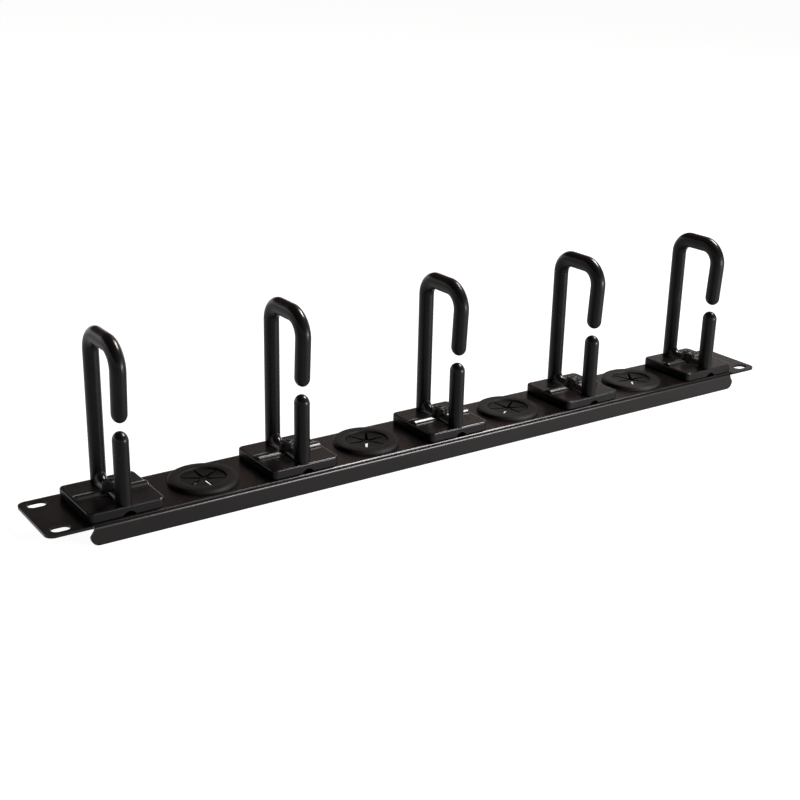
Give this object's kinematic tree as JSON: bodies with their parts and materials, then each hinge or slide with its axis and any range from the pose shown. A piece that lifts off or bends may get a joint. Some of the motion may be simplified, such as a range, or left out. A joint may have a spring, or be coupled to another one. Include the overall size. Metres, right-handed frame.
{
  "type": "horizontal cable manager",
  "caption": "One-unit rack panel with folded edges, open cable rings on square feet and slit rubber cable grommets between them.",
  "frame": {"origin": "middle of the plane that the two folded flange edges stand on", "axes": "+Z from the panel towards the cable rings, X along the panel's length, Y across its height with the rings' gaps towards -Y"},
  "size_m": [0.4826, 0.044, 0.0996],
  "materials": {
    "panel_steel": "fine satin powder coat",
    "ring_plastic": "satin moulded",
    "grommet_rubber": "matt",
    "screw_black": "black oxide",
    "fastener_zinc": "zinc plated"
  },
  "bodies": {
    "root": {"panel": "panel_steel", "ring_screws": "screw_black", "ring_washers": "fastener_zinc", "ring_nuts": "fastener_zinc", "ring_1": "ring_plastic", "ring_2": "ring_plastic", "ring_3": "ring_plastic", "ring_4": "ring_plastic", "ring_5": "ring_plastic", "grommet_1": "grommet_rubber", "grommet_2": "grommet_rubber", "grommet_3": "grommet_rubber", "grommet_4": "grommet_rubber"}
  },
  "joints": []
}
